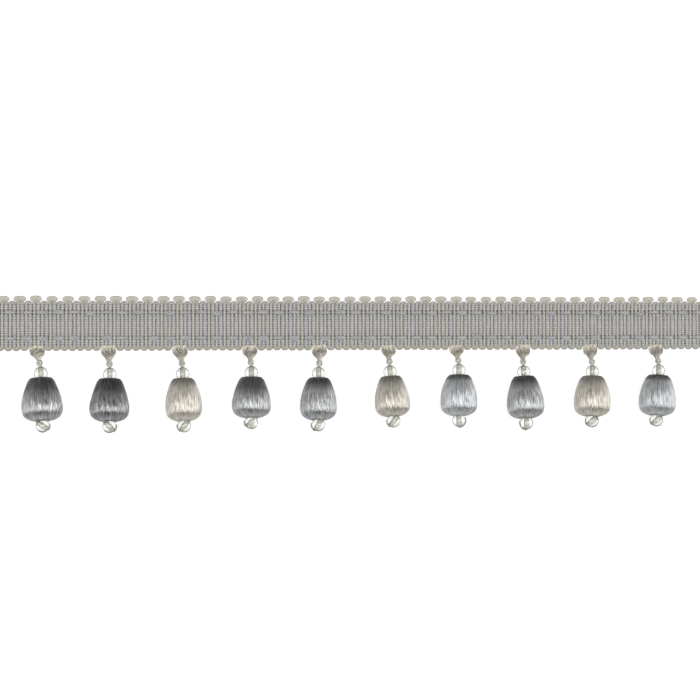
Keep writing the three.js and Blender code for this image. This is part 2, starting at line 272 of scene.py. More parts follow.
THREADS = 180  # in one drop's winding, 0.3 mm apart at its belly
THREADS_APART = 3.73  # pattern units from one thread to the next, so that each has its own streaks
STREAK_LENGTH = 5  # millimetres along a thread in one pattern unit
STREAKS = {  # a streak's weight beside the thread's own tone, and the sums that give the two colours
    "weight": 2.5, "darkest": 1.15, "lightest": 2.35,
}
RAGGED = 6.0  # how far the edge of the painted shade near a drop's narrow end runs up and down


def new_material(name):
    """A material and its empty node tree."""
    material = bpy.data.materials.new(name)
    material.use_nodes = True
    material.node_tree.nodes.clear()
    return material, material.node_tree


def give_surface(tree, inputs):
    """The surface shader with these inputs, and the output."""
    shader = node(tree, "ShaderNodeBsdfPrincipled", inputs)
    node(tree, "ShaderNodeOutputMaterial", {"Surface": shader})


def strand_coordinates(tree, around, along):
    """A yarn's own UV with so many pattern units round it and in each millimetre of its length."""
    uv = node(tree, "ShaderNodeUVMap", uv_map=STRAND_UV)
    return node(tree, "ShaderNodeMapping", {"Vector": uv, "Scale": (around, along, 1)})


def across_tape(tree, stops):
    """A share that changes across the heading: rows of (height in millimetres, share)."""
    place = node(tree, "ShaderNodeTexCoord").outputs["Object"]
    height = node(tree, "ShaderNodeSeparateXYZ", {"Vector": place}).outputs["Y"]
    height = node(tree, "ShaderNodeMapRange",
                  {"Value": height, "From Min": -TAPE_HALF * MM, "From Max": TAPE_HALF * MM})
    ramp = node(tree, "ShaderNodeValToRGB", {"Fac": height})
    for y, share in stops:
        stop = ramp.color_ramp.elements.new((y + TAPE_HALF) / (2 * TAPE_HALF))
        stop.color = (share, share, share, 1)
    for end, (_, share) in ((0, stops[0]), (-1, stops[-1])):
        ramp.color_ramp.elements[end].color = (share, share, share, 1)
    return ramp


def yarn_material(name, dark, light, ridges, flank, loop_shade=None, roughness=0.8, tone_from="tone",
                  tones=(0, 1)):
    """Dyed yarn. tone picks each yarn's own colour between dark and light. ridges is how many ridges
    of its twist lie round it and how many millimetres lie from one to the next along it, both in
    its bump. flank is how much of its colour is left where it turns down between its neighbours, as
    painted shade, and the loop shade how much is left across the tape, also as painted shade."""
    material, tree = new_material(name)
    tone = node(tree, "ShaderNodeAttribute", attribute_name=tone_from)
    uneven = node(tree, "ShaderNodeTexNoise",
                  {"Vector": strand_coordinates(tree, 1.2, 0.3), "Scale": 1.0, "Detail": 3.0})
    share = node(tree, "ShaderNodeMath", {0: tone.outputs["Fac"], 1: uneven}, operation="ADD")
    share = node(tree, "ShaderNodeMapRange",
                 {"Value": share, "From Min": tones[0] + NOISE[0], "From Max": tones[1] + NOISE[1]})
    colour = node(tree, "ShaderNodeMix", {"Factor": share, "A": linear(dark), "B": linear(light)},
                  data_type="RGBA")
    # Painted shade: darker where a yarn turns down between its neighbours, and by height across the tape
    around = node(tree, "ShaderNodeSeparateXYZ", {"Vector": strand_coordinates(tree, 1, 1)})
    aside = node(tree, "ShaderNodeMath", {0: around.outputs["X"], 1: TOP_U}, operation="SUBTRACT")
    aside = node(tree, "ShaderNodeMath", {0: aside}, operation="ABSOLUTE")
    left = node(tree, "ShaderNodeMapRange", {
        "Value": aside, "From Min": FLANK[0], "From Max": FLANK[1], "To Min": 1.0, "To Max": flank})
    # Painted shade at the weft's turns, by height across the tape
    if loop_shade:
        left = node(tree, "ShaderNodeMath", {0: left, 1: across_tape(tree, loop_shade)},
                    operation="MULTIPLY")
    colour = node(tree, "ShaderNodeVectorMath", {0: colour, "Scale": left}, operation="SCALE")
    ridges_round, ridge_every = ridges
    twist = node(tree, "ShaderNodeTexWave",
                 {"Vector": strand_coordinates(tree, ridges_round, 1 / ridge_every),
                  "Scale": RIDGE_WAVE, "Distortion": 1.2, "Detail": 2.0, "Detail Scale": 1.5},
                 wave_type="BANDS", bands_direction="DIAGONAL")
    bump = node(tree, "ShaderNodeBump",
                {"Height": twist.outputs["Fac"], "Strength": 0.35, "Distance": 0.08 * MM})
    give_surface(tree, {"Base Color": colour, "Normal": bump, "Roughness": roughness,
                        "Sheen Weight": 0.25})
    return material


def satin_material(name, dark, light, mirror, roughness, slack, neck_shade):
    """Wound rayon floss. Its highlight is tight along the threads and spread across them, so it runs
    in a band round the drop. mirror is how metallic it looks. Locks of threads dip and rise and
    break up the band's edges, and slack is how steeply they do. The last argument paints shade near
    the narrow end: how far from it the colour stays darkest, how far from it full colour returns,
    and how much of the colour is left where it is darkest."""
    material, tree = new_material(name)
    tone = node(tree, "ShaderNodeAttribute", attribute_name="tone")
    place = node(tree, "ShaderNodeAttribute", attribute_name="place")
    along = node(tree, "ShaderNodeSeparateXYZ",
                 {"Vector": strand_coordinates(tree, 1, 1 / STREAK_LENGTH)})
    own = node(tree, "ShaderNodeMath", {0: place.outputs["Fac"], 1: THREADS_APART * THREADS},
               operation="MULTIPLY")
    spot = node(tree, "ShaderNodeCombineXYZ", {"X": own, "Y": along.outputs["Y"]})

    streak = node(tree, "ShaderNodeTexNoise", {"Vector": spot, "Scale": 1.3, "Detail": 1.0})
    share = node(tree, "ShaderNodeMath",
                 {0: streak, 1: STREAKS["weight"], 2: tone.outputs["Fac"]},
                 operation="MULTIPLY_ADD")
    share = node(tree, "ShaderNodeMapRange", {
        "Value": share, "From Min": STREAKS["darkest"], "From Max": STREAKS["lightest"]})
    colour = node(tree, "ShaderNodeMix", {"Factor": share, "A": linear(dark), "B": linear(light)},
                  data_type="RGBA")
    # Painted shade near the narrow end, its edge ragged along the streaks
    darkest_until, unshaded_from, left = neck_shade
    length = node(tree, "ShaderNodeSeparateXYZ", {"Vector": strand_coordinates(tree, 1, 1)})
    jagged = node(tree, "ShaderNodeMath", {0: streak, 1: -RAGGED, 2: length.outputs["Y"]},
                  operation="MULTIPLY_ADD")
    neck_shading = node(tree, "ShaderNodeMapRange", {
        "Value": jagged, "From Min": darkest_until - RAGGED / 2, "From Max": unshaded_from - RAGGED / 2,
        "To Min": left})
    colour = node(tree, "ShaderNodeVectorMath", {0: colour, "Scale": neck_shading}, operation="SCALE")

    waver = node(tree, "ShaderNodeTexNoise", {"Vector": spot, "Scale": 1.0, "Detail": 2.0})
    across = node(tree, "ShaderNodeTangent", direction_type="UV_MAP", uv_map=STRAND_UV)
    facing = node(tree, "ShaderNodeNewGeometry").outputs["Normal"]
    lengthwise = node(tree, "ShaderNodeVectorMath", {0: facing, 1: across},
                      operation="CROSS_PRODUCT")
    dip = node(tree, "ShaderNodeMath", {0: waver, 1: -NOISE_MIDDLE}, operation="ADD")
    tilt = node(tree, "ShaderNodeMath", {0: dip, 1: slack}, operation="MULTIPLY")
    shift = node(tree, "ShaderNodeVectorMath", {0: lengthwise, "Scale": tilt}, operation="SCALE")
    tilted = node(tree, "ShaderNodeVectorMath", {0: facing, 1: shift}, operation="ADD")
    tilted = node(tree, "ShaderNodeVectorMath", {0: tilted}, operation="NORMALIZE")
    give_surface(tree, {"Base Color": colour, "Tangent": across, "Normal": tilted,
                        "Roughness": roughness, "Metallic": mirror, "Anisotropic": 0.82})
    return material


def glass_material():
    """Soda-lime glass, drawn and fire-polished: clear, with the faintest green in its thickness, and
    painted darker where it is seen on edge, as a painted reflection of the dark room."""
    material, tree = new_material("clear_soda_glass")
    # Painted reflection: darker colour where the surface is seen on edge
    edge = node(tree, "ShaderNodeLayerWeight", {"Blend": 0.5})
    edge = node(tree, "ShaderNodeMapRange",
                {"Value": edge.outputs["Facing"], "From Min": 0.3, "From Max": 0.66})
    colour = node(tree, "ShaderNodeMix",
                  {"Factor": edge, "A": linear("#f0f3ec"), "B": linear("#353a32")}, data_type="RGBA")
    ripple = node(tree, "ShaderNodeTexNoise",
                  {"Vector": node(tree, "ShaderNodeTexCoord").outputs["Object"], "Scale": 0.35 / MM})
    bump = node(tree, "ShaderNodeBump", {"Height": ripple, "Strength": 0.02, "Distance": 0.1 * MM})
    give_surface(tree, {"Base Color": colour, "Normal": bump, "Roughness": 0.02, "IOR": 1.52,
                        "Transmission Weight": 1.0})
    return material


def floor_material():
    """Opal acrylic on a light box, so that what lies on it throws no hard shadow."""
    material, tree = new_material("opal_acrylic")
    cloud = node(tree, "ShaderNodeTexNoise",
                 {"Vector": node(tree, "ShaderNodeTexCoord").outputs["Object"], "Scale": 0.01 / MM})
    colour = node(tree, "ShaderNodeMix",
                  {"Factor": cloud, "A": linear("#6f6f6f"), "B": linear("#737373")}, data_type="RGBA")
    give_surface(tree, {"Base Color": colour, "Roughness": 0.6, "Emission Color": linear("#ffffff"),
                        "Emission Strength": 0.86})
    return material


MATERIALS = {
    # Viscose gimp: floss wrapped close round a cotton core, so smooth and matt, with fine rings
    "weft": yarn_material("viscose_gimp_cream", "#a7a598", "#bbb8ab", ridges=(0.5, 1.0), flank=0.55,
                          loop_shade=SHADED_LOOPS),
    # The same gimp, pulled tight, so its edges sink into the run that it ties, with deeper painted shade
    # along them
    "tie": yarn_material("viscose_gimp_tie", "#a7a598", "#bbb8ab", ridges=(0.5, 1.0), flank=0.25),
    # Rayon warp, two ends side by side, a lavender grey with a slight lustre
    "warp": yarn_material("rayon_warp_lavender_grey", "#9f9d9f", "#bbb9bc", ridges=(2.5, 1.8),
                          flank=0.5, roughness=0.65),
    # Rayon ground warp, hidden at the back, coloured darker than the warp as painted shade of the weave
    # above it
    "ground": yarn_material("rayon_ground_warp", "#747378", "#828186", ridges=(2.5, 1.8),
                            flank=0.4, roughness=0.7),
    # Untwisted rayon floats, blue-grey, with fine ridges along them
    "binder": yarn_material("rayon_floss_blue_grey", "#838487", "#a1a2a5", ridges=(3, 6),
                            flank=0.4, roughness=0.6),
    # Two-ply cotton cord, unbleached to tan, matt and a little fuzzy, with deep painted shade between its
    # plies
    "tuft": yarn_material("cotton_cord_unbleached", "#b5ad9a", "#f0eadb", ridges=(2, 1.6),
                          flank=0.3),
    # Bonded nylon beading thread, pale grey-green, with painted light in the beads and painted shade
    # outside them
    "thread": yarn_material("nylon_thread_grey_green", "#72756a", "#e4e6da", ridges=(1.5, 1.2),
                            flank=0.7, roughness=0.5, tone_from="girth", tones=(0.75, 1.35)),
    # Wound rayon floss, which shines in a band across its threads: one grey painted deep, mid or pale
    # per drop as painted shade and painted light for how each drop lies to the lamps, and a champagne
    "deep_grey": satin_material("rayon_satin_deep_grey", "#555657", "#bebfc0", mirror=0.95,
                                roughness=0.42, slack=0.7, neck_shade=(9.5, 14, 0.38)),
    "mid_grey": satin_material("rayon_satin_mid_grey", "#626364", "#bcbdbe", mirror=0.9,
                               roughness=0.44, slack=0.8, neck_shade=(6.5, 11, 0.28)),
    "pale_grey": satin_material("rayon_satin_pale_grey", "#797b7d", "#c5c7c9", mirror=0.85,
                                roughness=0.46, slack=0.85, neck_shade=(5.5, 7.5, 0.25)),
    "champagne": satin_material("rayon_satin_champagne", "#857f72", "#d3cfc6", mirror=0.82,
                                roughness=0.47, slack=0.8, neck_shade=(4.5, 9, 0.42)),
    "glass": glass_material(),
    "floor": floor_material(),
}


# Geometry Nodes trees

SOCKET_KINDS = {int: "NodeSocketInt", float: "NodeSocketFloat", bpy.types.Material: "NodeSocketMaterial"}
CORD_STEPS = 6  # between two points of a twisted cord's path
THREAD_SIDES = 5
# How far a thread lies aside of its even place, in threads, and in or out, as shares of its radius
UNEVEN = {"place": 0.2, "swell": (0.9975, 1.002)}
SWAY = {"from_tone": 40.0, "along": 0.12}  # its pattern's units for each unit of tone, and in 1 mm
LUMPS = 0.11  # units in 1 mm of the pattern that makes a drop's core uneven


def new_tree(name, sizes):
    """A tree that takes a geometry and these named sizes, each a type."""
    tree = bpy.data.node_groups.new(name, "GeometryNodeTree")
    sockets = tree.interface
    sockets.new_socket("Geometry", in_out="INPUT", socket_type="NodeSocketGeometry")
    for label, kind in sizes.items():
        sockets.new_socket(label, in_out="INPUT", socket_type=SOCKET_KINDS[kind])
    sockets.new_socket("Geometry", in_out="OUTPUT", socket_type="NodeSocketGeometry")
    given = node(tree, "NodeGroupInput").outputs
    return tree, given


def smooth_line(tree, paths, steps):
    """The paths as smooth curves, with this many steps between two of their points."""
    line = node(tree, "GeometryNodeMeshToCurve", {"Mesh": paths})
    line = node(tree, "GeometryNodeCurveSplineType", {"Curve": line}, spline_type="CATMULL_ROM")
    return node(tree, "GeometryNodeSetSplineResolution", {"Geometry": line, "Resolution": steps})


def measured(tree, line):
    """The line with each point's distance along it."""
    length = node(tree, "GeometryNodeSplineParameter").outputs["Length"]
    return node(tree, "GeometryNodeStoreNamedAttribute",
                {"Geometry": line, "Name": "along", "Value": length}, data_type="FLOAT")


def sweep(tree, line, profile, scale):
    """A closed, smooth yarn along a line, with its strand UV."""
    body = node(tree, "GeometryNodeCurveToMesh",
                {"Curve": line, "Profile Curve": profile, "Scale": scale, "Fill Caps": True})
    body = node(tree, "GeometryNodeSetShadeSmooth", {"Geometry": body})
    around = node(tree, "GeometryNodeInputNamedAttribute", {"Name": "around"}, data_type="FLOAT")
    along = node(tree, "GeometryNodeInputNamedAttribute", {"Name": "along"}, data_type="FLOAT")
    along = node(tree, "ShaderNodeMath", {0: along, 1: 1 / MM}, operation="MULTIPLY")
    uv = node(tree, "ShaderNodeCombineXYZ", {"X": around, "Y": along})
    return node(tree, "GeometryNodeStoreNamedAttribute",
                {"Geometry": body, "Name": STRAND_UV, "Value": uv},
                domain="CORNER", data_type="FLOAT2")


def round_profile(tree, sides, wide, thick):
    """A closed oval of this many sides that starts under the yarn."""
    circle = node(tree, "GeometryNodeCurvePrimitiveCircle", {"Resolution": sides, "Radius": 0.5})
    share = node(tree, "GeometryNodeSplineParameter").outputs["Factor"]
    circle = node(tree, "GeometryNodeStoreNamedAttribute",
                  {"Geometry": circle, "Name": "around", "Value": share}, data_type="FLOAT")
    size = node(tree, "ShaderNodeCombineXYZ", {"X": thick, "Y": wide, "Z": 1.0})
    return node(tree, "GeometryNodeTransform",
                {"Geometry": circle, "Rotation": (0, 0, math.pi / 2), "Scale": size})


def finished(tree, geometry, material):
    real = node(tree, "GeometryNodeRealizeInstances", {"Geometry": geometry})
    painted = node(tree, "GeometryNodeSetMaterial", {"Geometry": real, "Material": material})
    node(tree, "NodeGroupOutput", {"Geometry": painted})
    return tree


def laid_yarn_tree():
    """Flat-lying yarns: an oval section along each path, uneven, each with its own tone."""
    tree, given = new_tree("laid_yarn", {
        "Width": float, "Thickness": float, "Sides": int, "Smoothness": int,
        "Unevenness": float, "Seed": int, "Material": bpy.types.Material})
    line = smooth_line(tree, given["Geometry"], given["Smoothness"])
    line = node(tree, "GeometryNodeSetCurveNormal", {"Curve": line}, mode="Z_UP")
    line = measured(tree, line)
    tone = node(tree, "FunctionNodeRandomValue", {"Seed": given["Seed"]}, data_type="FLOAT")
    line = node(tree, "GeometryNodeStoreNamedAttribute",
                {"Geometry": line, "Name": "tone", "Value": tone}, domain="CURVE", data_type="FLOAT")
    profile = round_profile(tree, given["Sides"], given["Width"], given["Thickness"])
    girth = node(tree, "GeometryNodeInputNamedAttribute", {"Name": "girth"}, data_type="FLOAT")
    body = sweep(tree, line, profile, girth)
    noise = node(tree, "ShaderNodeTexNoise",
                 {"Vector": node(tree, "GeometryNodeInputPosition"), "Scale": 0.7 / MM})
    shift = node(tree, "ShaderNodeVectorMath",
                 {0: noise.outputs["Color"], 1: [NOISE_MIDDLE] * 3}, operation="SUBTRACT")
    shift = node(tree, "ShaderNodeVectorMath", {0: shift, "Scale": given["Unevenness"]},
                 operation="SCALE")
    body = node(tree, "GeometryNodeSetPosition", {"Geometry": body, "Offset": shift})
    return finished(tree, body, given["Material"])


def twisted_cord_tree():
    """Plied cord: round plies that wind about each path."""
    tree, given = new_tree("twisted_cord", {
        "Plies": int, "Ply Radius": float, "Lay": float, "Step": float, "Sides": int,
        "Darkest": float, "Lightest": float, "Seed": int, "Material": bpy.types.Material})
    line = smooth_line(tree, given["Geometry"], CORD_STEPS)
    tone = node(tree, "FunctionNodeRandomValue",
                {"Min": given["Darkest"], "Max": given["Lightest"], "Seed": given["Seed"]},
                data_type="FLOAT")
    line = node(tree, "GeometryNodeStoreNamedAttribute",
                {"Geometry": line, "Name": "tone", "Value": tone}, domain="CURVE", data_type="FLOAT")
    line = node(tree, "GeometryNodeResampleCurve", {"Curve": line, "Length": given["Step"]},
                mode="LENGTH")
    line = measured(tree, line)
    plies = node(tree, "GeometryNodeDuplicateElements",
                 {"Geometry": line, "Amount": given["Plies"]}, domain="SPLINE")
    along = node(tree, "GeometryNodeInputNamedAttribute", {"Name": "along"}, data_type="FLOAT")
    turns = node(tree, "ShaderNodeMath", {0: along, 1: given["Lay"]}, operation="DIVIDE")
    start = node(tree, "ShaderNodeMath", {0: plies.outputs["Duplicate Index"], 1: given["Plies"]},
                 operation="DIVIDE")
    turns = node(tree, "ShaderNodeMath", {0: turns, 1: start}, operation="ADD")
    angle = node(tree, "ShaderNodeMath", {0: turns, 1: 2 * math.pi}, operation="MULTIPLY")
    out = node(tree, "ShaderNodeVectorRotate",
               {"Vector": node(tree, "GeometryNodeInputNormal"),
                "Axis": node(tree, "GeometryNodeInputTangent"), "Angle": angle})
    girth = node(tree, "GeometryNodeInputNamedAttribute", {"Name": "girth"}, data_type="FLOAT")
    reach = node(tree, "ShaderNodeMath", {0: girth, 1: given["Ply Radius"]}, operation="MULTIPLY")
    shift = node(tree, "ShaderNodeVectorMath", {0: out, "Scale": reach}, operation="SCALE")
    line = node(tree, "GeometryNodeSetPosition", {"Geometry": plies.outputs[0], "Offset": shift})
    wide = node(tree, "ShaderNodeMath", {0: given["Ply Radius"], 1: PLY_WIDTH},
                operation="MULTIPLY")
    profile = round_profile(tree, given["Sides"], wide, wide)
    return finished(tree, sweep(tree, line, profile, girth), given["Material"])


def wound_threads_tree():
    """Threads wound lengthwise over a turned core: the given half section, again and again about Y."""
    tree, given = new_tree("wound_threads", {
        "Threads": int, "Width": float, "Thickness": float, "Widest": float, "Wander": float,
        "Lumps": float, "Darkest": float, "Lightest": float, "Seed": int, "Material": bpy.types.Material})
    position = node(tree, "GeometryNodeInputPosition")
    index = node(tree, "GeometryNodeInputIndex")

    # One thread along the half section, narrower where that is nearer the axis
    line = node(tree, "GeometryNodeMeshToCurve", {"Mesh": given["Geometry"]})
    line = node(tree, "GeometryNodeSetCurveNormal", {"Curve": line}, mode="Z_UP")
    line = measured(tree, line)
    from_axis = node(tree, "ShaderNodeSeparateXYZ", {"Vector": position}).outputs["X"]
    narrowed = node(tree, "ShaderNodeMath", {0: from_axis, 1: given["Widest"]}, operation="DIVIDE")
    profile = round_profile(tree, THREAD_SIDES, given["Thickness"], given["Width"])
    thread = sweep(tree, line, profile, narrowed)

    # All of them round the axis, each with its own tone and place
    spots = node(tree, "GeometryNodeMeshLine", {"Count": given["Threads"], "Offset": (0, 0, 0)})
    jitter = node(tree, "FunctionNodeRandomValue",
                  {"Min": -UNEVEN["place"], "Max": UNEVEN["place"], "Seed": given["Seed"]},
                  data_type="FLOAT")
    turn = node(tree, "ShaderNodeMath", {0: index, 1: jitter}, operation="ADD")
    turn = node(tree, "ShaderNodeMath", {0: turn, 1: given["Threads"]}, operation="DIVIDE")
    turn = node(tree, "ShaderNodeMath", {0: turn, 1: 2 * math.pi}, operation="MULTIPLY")
    rotation = node(tree, "ShaderNodeCombineXYZ", {"Y": turn})
    least, most = UNEVEN["swell"]
    swell = node(tree, "FunctionNodeRandomValue",
                 {"Min": least, "Max": most, "Seed": given["Seed"]}, data_type="FLOAT")
    scale = node(tree, "ShaderNodeCombineXYZ", {"X": swell, "Y": 1.0, "Z": swell})
    threads = node(tree, "GeometryNodeInstanceOnPoints",
                   {"Points": spots, "Instance": thread, "Rotation": rotation, "Scale": scale})
    tone = node(tree, "FunctionNodeRandomValue",
                {"Min": given["Darkest"], "Max": given["Lightest"], "Seed": given["Seed"]},
                data_type="FLOAT")
    place = node(tree, "ShaderNodeMath", {0: index, 1: given["Threads"]}, operation="DIVIDE")
    for name, value in (("tone", tone), ("place", place)):
        threads = node(tree, "GeometryNodeStoreNamedAttribute",
                       {"Geometry": threads, "Name": name, "Value": value},
                       domain="INSTANCE", data_type="FLOAT")
    threads = node(tree, "GeometryNodeRealizeInstances", {"Geometry": threads})

    # Each sways a little to the side, by a pattern of its own
    own_tone = node(tree, "GeometryNodeInputNamedAttribute", {"Name": "tone"}, data_type="FLOAT")
    own_path = node(tree, "ShaderNodeMath", {0: own_tone, 1: SWAY["from_tone"]},
                    operation="MULTIPLY")
    along = node(tree, "GeometryNodeInputNamedAttribute", {"Name": "along"}, data_type="FLOAT")
    along = node(tree, "ShaderNodeMath", {0: along, 1: SWAY["along"] / MM}, operation="MULTIPLY")
    spot = node(tree, "ShaderNodeCombineXYZ", {"X": along, "Y": own_path})
    sway = node(tree, "ShaderNodeTexNoise", {"Vector": spot, "Scale": 1.0, "Detail": 0.0})
    sway = node(tree, "ShaderNodeMath", {0: sway, 1: -NOISE_MIDDLE}, operation="ADD")
    sway = node(tree, "ShaderNodeMath", {0: sway, 1: given["Wander"]}, operation="MULTIPLY")
    moved = node(tree, "ShaderNodeVectorRotate", {"Vector": position, "Angle": sway},
                 rotation_type="Y_AXIS")
    threads = node(tree, "GeometryNodeSetPosition", {"Geometry": threads, "Position": moved})

    # All of them follow the core's slight lumps
    lumps = node(tree, "ShaderNodeTexNoise",
                 {"Vector": position, "W": given["Seed"], "Scale": LUMPS / MM, "Detail": 1.0},
                 noise_dimensions="4D")
    lumps = node(tree, "ShaderNodeMath", {0: lumps, 1: -NOISE_MIDDLE}, operation="ADD")
    lumps = node(tree, "ShaderNodeMath", {0: lumps, 1: given["Lumps"]}, operation="MULTIPLY")
    outwards = node(tree, "ShaderNodeVectorMath", {0: position, 1: (1, 0, 1)}, operation="MULTIPLY")
    outwards = node(tree, "ShaderNodeVectorMath", {0: outwards}, operation="NORMALIZE")
    shift = node(tree, "ShaderNodeVectorMath", {0: outwards, "Scale": lumps}, operation="SCALE")
    threads = node(tree, "GeometryNodeSetPosition", {"Geometry": threads, "Offset": shift})
    return finished(tree, threads, given["Material"])


TREES = {
    "laid_yarn": laid_yarn_tree(),
    "twisted_cord": twisted_cord_tree(),
    "wound_threads": wound_threads_tree(),
}


def paths_mesh(name, paths):
    """Each path as a row of joined points. A point is (x, y, z) or (x, y, z, girth)."""
    points = []
    edges = []
    for path in paths:
        first = len(points)
        points += [tuple(p) if len(p) == 4 else (*p, 1.0) for p in path]
        edges += [(i, i + 1) for i in range(first, len(points) - 1)]
    mesh = bpy.data.meshes.new(name)
    mesh.from_pydata([Vector(p[:3]) * MM for p in points], edges, [])
    girth = mesh.attributes.new("girth", "FLOAT", "POINT")
    girth.data.foreach_set("value", [p[3] for p in points])
    return mesh


def grown(name, tree_name, paths, **sizes):
    """A plain mesh object that one of the trees makes from these paths."""
    tree = TREES[tree_name]
    piece = new_object(name, paths_mesh(name, paths))
    modifier = piece.modifiers.new("grow", "NODES")
    modifier.node_group = tree
    for item in tree.interface.items_tree:
        label = item.name.lower().replace(" ", "_")
        if item.in_out == "INPUT" and label in sizes:
            modifier[item.identifier] = sizes[label]
    graph = bpy.context.evaluated_depsgraph_get()
    graph.update()
    made = bpy.data.meshes.new_from_object(
        piece.evaluated_get(graph), preserve_all_data_layers=True, depsgraph=graph)
    piece.modifiers.remove(modifier)
    bare = piece.data
    piece.data = made
    bpy.data.meshes.remove(bare)
    made.name = name
    return piece


def lathe(name, profile, sides, axis, middle, material):
    """A ring-shaped turned solid from a closed half section of (radius, height), along an axis."""
    turn = UP.rotation_difference(axis)
    points = []
    for i in range(sides):
        angle = 2 * math.pi * i / sides
        for radius, height in profile:
            local = Vector((radius * math.cos(angle), radius * math.sin(angle), height))
            points.append((middle + turn @ local) * MM)
    count = len(profile)
    faces = []
    for i in range(sides):
        j = (i + 1) % sides
        for k in range(count):
            m = (k + 1) % count
            faces.append((i * count + k, j * count + k, j * count + m, i * count + m))
    mesh = bpy.data.meshes.new(name)
    mesh.from_pydata(points, [], faces)
    mesh.shade_smooth()
    mesh.set_sharp_from_angle(angle=math.radians(40))
    mesh.materials.append(material)
    return new_object(name, mesh)


# The heading

def picot_x(repeat):
    return (repeat - REPEATS / 2 - FIRST_EDGE) * PITCH


HANGER_X = [picot_x(HANGER_FIRST + i * HANGER_EVERY) for i in range(len(LOOKS))]
wobble = random.Random(47)


def tightness(x):
    """How tight the bands are drawn at x, from 0 to 1: the more so, the nearer the right end."""
    return min(1, max(0, mix(TIGHT_HALFWAY, 1, x / HALF_LENGTH)))


def weft_run(x, middle, upwards, pressed=0, drawn_aside=0):
    """One straight run of the weft cord, pressed down and drawn to the left where a band crosses it."""
    run = []
    for y in RUN_STOPS:
        crossed = y in (LOWER_BAND, UPPER_BAND)
        dip = pressed if crossed else 0
        aside = drawn_aside if crossed else 0
        run.append((x - aside + wobble.gauss(0, STRAY["run"]), y, middle - dip))
    return run if upwards else run[::-1]


def weft_turn(x, kind, over):
    """A hump or a scallop between two neighbouring runs, fuller than a half circle."""
    height = kind["height"] + wobble.gauss(0, STRAY["turn"])
    turn = []
    for i in range(TURN["steps"]):
        angle = math.pi * (1 - i / (TURN["steps"] - 1))
        up = max(0, math.sin(angle)) ** TURN["fullness"] * height
        y = kind["middle"] + up if over else kind["middle"] - up
        turn.append((x + TURN["half_width"] * math.cos(angle), y, BARE["middle"], kind["girth"]))
    return turn


def picot(x):
    """The tall loop, pressed flat and closed, each a little different."""
    wide = wobble.uniform(*PICOT_VARIES["size"])
    tall = wobble.uniform(*PICOT_VARIES["size"])
    lean = wobble.gauss(0, PICOT_VARIES["lean"])
    outline = [(-dx, y, girth) for dx, y, girth in PICOT_HALF]
    outline += [PICOT_TOP, *PICOT_HALF[::-1]]
    loop = []
    for dx, y, girth in outline:
        rise = max(0, y - PICOT_BASE)
        across = x + dx * (wide if rise > PICOT_NECK else 1) + lean * rise / 2
        up = min(y, PICOT_BASE) + rise * tall
        loop.append((min(across, HALF_LENGTH - PICOT_INSET), up, BARE["middle"], girth))
    return loop


def scallop(x):
    """A turn along the lower edge, smaller where a tuft hides it."""
    hidden = any(abs(tuft - x) < PITCH / 2 for tuft in HANGER_X)
    return weft_turn(x, HIDDEN_SCALLOP if hidden else SCALLOP, False)


def weft_path():
    """The cord's middle line from the left cut end to the right one."""
    path = []
    for repeat in range(REPEATS):
        x = picot_x(repeat)
        bare, tied = [x + place * PITCH for place in BARE["places"]]
        covered, last = [x + place * PITCH for place in COVERED["places"]]
        hole = HOLE * tightness(x)
        path += weft_run(bare, BARE["middle"], True)
        path += weft_turn((bare + covered) / 2, HUMP, True)
        path += weft_run(covered, COVERED["middle"], False, PRESSED["covered"], hole)
        path += scallop((covered + tied) / 2)
        path += weft_run(tied, BARE["middle"], True, PRESSED["tied"])
        path += picot(x)
        path += weft_run(last, COVERED["middle"], False, PRESSED["covered"])
        if repeat < REPEATS - 1:
            path += scallop((last + bare + PITCH) / 2)
    return path


def warp_path(y):
    """Over each covered run, then squeezed down under each bare one."""
    under, shoulder = WARP_REACH["under"], WARP_REACH["shoulder"]
    crest_height, crest_girth = WARP_CREST
    path = [(-HALF_LENGTH, y, WARP_UNDER[0])]
    for repeat in range(REPEATS):
        for bare, covered in zip(BARE["places"], COVERED["places"]):
            below = picot_x(repeat) + bare * PITCH
            over = picot_x(repeat) + covered * PITCH
            if below - under > -HALF_LENGTH:
                path.append((below - under, y, *WARP_UNDER))
            path.append((below + under, y, *WARP_UNDER))
            path.append((over - shoulder, y, *WARP_SHOULDER))
            path.append((over, y, crest_height + wobble.gauss(0, STRAY["warp"]), crest_girth))
            path.append((over + shoulder, y, *WARP_SHOULDER))
    return path[:-1] + [(HALF_LENGTH, y, *WARP_SHOULDER)]


def ground_path(y):
    """Straight along the back, under every run."""
    steps = REPEATS * 2
    path = []
    for i in range(steps + 1):
        x = mix(-HALF_LENGTH, HALF_LENGTH, i / steps)
        path.append((x, y + wobble.gauss(0, STRAY["ground"]), GROUND["middle"]))
    return path


def binder_paths(y):
    """The strands of one band. Each float has its own slack and lies a little high or low."""
    least, most, stray = BINDER_BANDS[y]
    floats = [(wobble.uniform(least, most), wobble.gauss(0, stray)) for _ in range(-1, REPEATS)]
    paths = []
    for strand in range(BINDER["strands"]):
        across = 2 * strand / (BINDER["strands"] - 1) - 1
        path = []
        for repeat, (width, lift) in enumerate(floats, -1):
            hole = HOLE * tightness(picot_x(repeat + 1))
            for dx, z, fan, at_hole in BINDER_PATH:
                x = picot_x(repeat) + dx - hole * at_hole
                if -HALF_LENGTH < x < HALF_LENGTH:
                    spread = mix(BINDER["gathered"], width, fan)
                    sag = BINDER["sag"] * across * across * fan
                    aside = across * spread + lift * fan + wobble.gauss(0, STRAY["strand"])
                    height = z - sag + wobble.gauss(0, STRAY["float"]) * fan
                    path.append((x, y + aside, height))
        paths.append([(-HALF_LENGTH, *path[0][1:]), *path, (HALF_LENGTH, *path[-1][1:])])
    return paths


